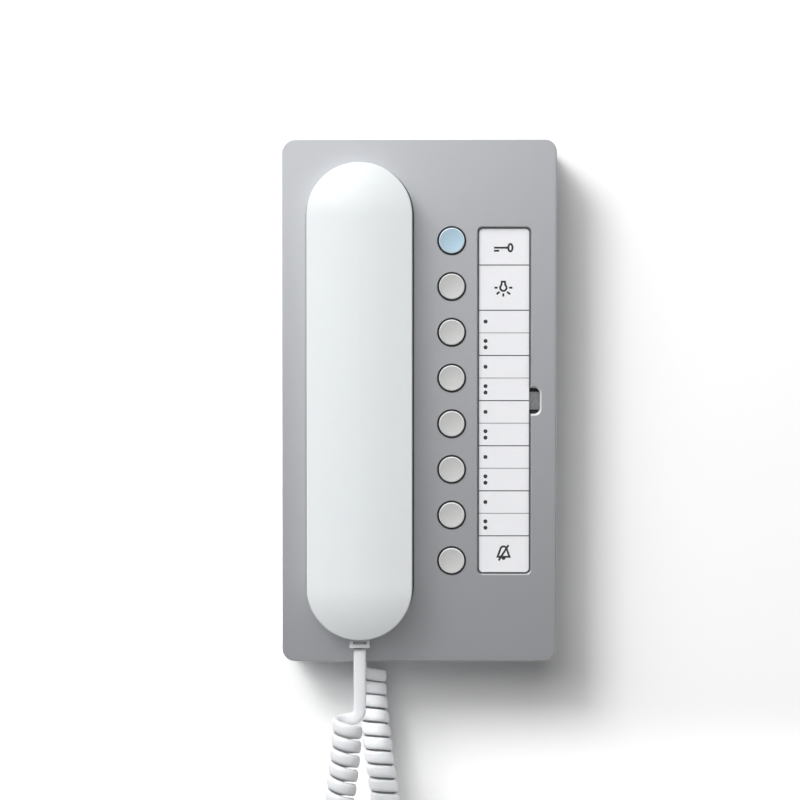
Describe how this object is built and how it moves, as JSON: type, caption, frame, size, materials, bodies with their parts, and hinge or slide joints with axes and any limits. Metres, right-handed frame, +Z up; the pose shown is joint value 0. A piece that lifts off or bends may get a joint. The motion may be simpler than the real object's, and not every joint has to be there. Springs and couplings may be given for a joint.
{
  "type": "wall intercom phone with handset",
  "caption": "Flat silver-grey wall intercom phone with a white crowned handset, a column of round buttons, a label window and a curly cord.",
  "frame": {"origin": "centre of the wall screws, on the wall plane", "axes": "+Z up along the wall, +Y into the wall, +X to the right seen from the front"},
  "size_m": [0.105, 0.046, 0.3769],
  "materials": {
    "housing_silver": "satin silver lacquer on moulded plastic",
    "handset_white": "smooth white moulding",
    "button_grey": "satin light grey",
    "button_blue": "satin pale blue",
    "clear_cover": "clear polished",
    "label_paper": "printed white paper",
    "dark_plastic": "fine grained dark grey moulding",
    "board_green": "solder mask",
    "terminal_green": "moulded",
    "steel": "zinc plated",
    "black_rubber": "silicone and foam",
    "speaker_black": "moulded",
    "plug_grey": "translucent moulding",
    "cord_white": "soft extruded jacket"
  },
  "bodies": {
    "base": {"base_plate": "dark_plastic", "front_housing": "housing_silver", "circuit_board": "board_green", "board_screws": "steel", "key_mat": "black_rubber", "terminal_block": "terminal_green", "terminal_screws": "steel", "call_loudspeaker": "speaker_black", "loudspeaker_gasket": "black_rubber", "hook_switch": "speaker_black", "hook_spring": "steel", "label_strip": "label_paper", "base_jack": "dark_plastic", "base_plug": "plug_grey", "handset_cord": "cord_white"},
    "handset": {"handset_shell": "handset_white", "handset_inner_shell": "handset_white", "earpiece_capsule": "speaker_black", "earpiece_seal": "black_rubber", "microphone_capsule": "steel", "microphone_holder": "black_rubber", "handset_weight": "steel", "handset_jack": "dark_plastic", "handset_plug": "plug_grey", "handset_screws": "steel"},
    "hook_plunger": {"hook_plunger": "handset_white"},
    "label_cover": {"label_cover": "clear_cover"},
    "door_button": {"door_button": "button_blue"},
    "light_button": {"light_button": "button_grey"},
    "call_button_1": {"call_button_1": "button_grey"},
    "call_button_2": {"call_button_2": "button_grey"},
    "call_button_3": {"call_button_3": "button_grey"},
    "call_button_4": {"call_button_4": "button_grey"},
    "call_button_5": {"call_button_5": "button_grey"},
    "mute_button": {"mute_button": "button_grey"}
  },
  "joints": [
    {"name": "handset_lift", "type": "slide", "parent": "base", "child": "handset", "axis": [0, -0.9848, 0.1736], "range_m": [0, 0.06], "deforming": ["handset_cord"]},
    {"name": "hook_slide", "type": "slide", "parent": "base", "child": "hook_plunger", "axis": [0, -1, 0], "range_m": [0, 0.0036], "deforming": ["hook_spring"]},
    {"name": "label_cover_slide", "type": "slide", "parent": "base", "child": "label_cover", "axis": [0, -1, 0], "range_m": [0, 0.01]},
    {"name": "door_button_press", "type": "slide", "parent": "base", "child": "door_button", "axis": [0, 1, 0], "range_m": [0, 0.001], "stiffness_N_per_m": 1200, "springref_m": -0.0003, "deforming": ["key_mat"]},
    {"name": "light_button_press", "type": "slide", "parent": "base", "child": "light_button", "axis": [0, 1, 0], "range_m": [0, 0.001], "stiffness_N_per_m": 1200, "springref_m": -0.0003, "deforming": ["key_mat"]},
    {"name": "call_button_1_press", "type": "slide", "parent": "base", "child": "call_button_1", "axis": [0, 1, 0], "range_m": [0, 0.001], "stiffness_N_per_m": 1200, "springref_m": -0.0003, "deforming": ["key_mat"]},
    {"name": "call_button_2_press", "type": "slide", "parent": "base", "child": "call_button_2", "axis": [0, 1, 0], "range_m": [0, 0.001], "stiffness_N_per_m": 1200, "springref_m": -0.0003, "deforming": ["key_mat"]},
    {"name": "call_button_3_press", "type": "slide", "parent": "base", "child": "call_button_3", "axis": [0, 1, 0], "range_m": [0, 0.001], "stiffness_N_per_m": 1200, "springref_m": -0.0003, "deforming": ["key_mat"]},
    {"name": "call_button_4_press", "type": "slide", "parent": "base", "child": "call_button_4", "axis": [0, 1, 0], "range_m": [0, 0.001], "stiffness_N_per_m": 1200, "springref_m": -0.0003, "deforming": ["key_mat"]},
    {"name": "call_button_5_press", "type": "slide", "parent": "base", "child": "call_button_5", "axis": [0, 1, 0], "range_m": [0, 0.001], "stiffness_N_per_m": 1200, "springref_m": -0.0003, "deforming": ["key_mat"]},
    {"name": "mute_button_press", "type": "slide", "parent": "base", "child": "mute_button", "axis": [0, 1, 0], "range_m": [0, 0.001], "stiffness_N_per_m": 1200, "springref_m": -0.0003, "deforming": ["key_mat"]}
  ],
  "couplings": [
    {"joint": "hook_slide", "follows": "handset_lift", "ratio": 0.06}
  ]
}
